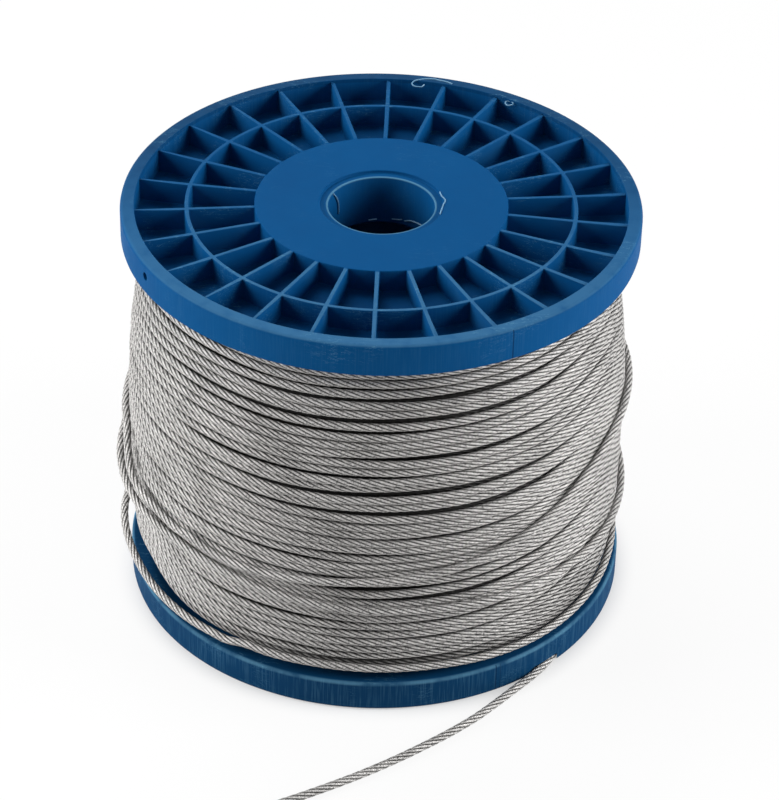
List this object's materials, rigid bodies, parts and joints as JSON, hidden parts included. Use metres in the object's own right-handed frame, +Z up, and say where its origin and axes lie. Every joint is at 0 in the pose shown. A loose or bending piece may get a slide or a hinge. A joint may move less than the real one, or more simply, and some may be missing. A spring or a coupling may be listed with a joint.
{
  "type": "wire rope on a plastic spool",
  "caption": "Ribbed plastic spool with a through bore, wound with thin steel wire rope, with a few slack turns and a free rope end lying beside its foot.",
  "frame": {"origin": "middle of the bottom flange's base, on the spool's axis", "axes": "+Z up along the spool's axis; the free rope end leaves towards -Y"},
  "size_m": [0.1887, 0.2498, 0.158],
  "materials": {
    "blue_plastic": "moulded, semi-matte blue plastic with light scuffs",
    "barrel_plastic": "moulded, semi-matte blue plastic",
    "steel_rope": "stranded bright steel wire, lightly greased"
  },
  "bodies": {
    "root": {"top_flange": "blue_plastic", "bottom_flange": "blue_plastic", "barrel": "barrel_plastic", "rope_winding": "steel_rope", "loose_turn_upper": "steel_rope", "loose_turn_middle": "steel_rope", "loose_turn_lower": "steel_rope", "rope_tail": "steel_rope"}
  },
  "joints": []
}
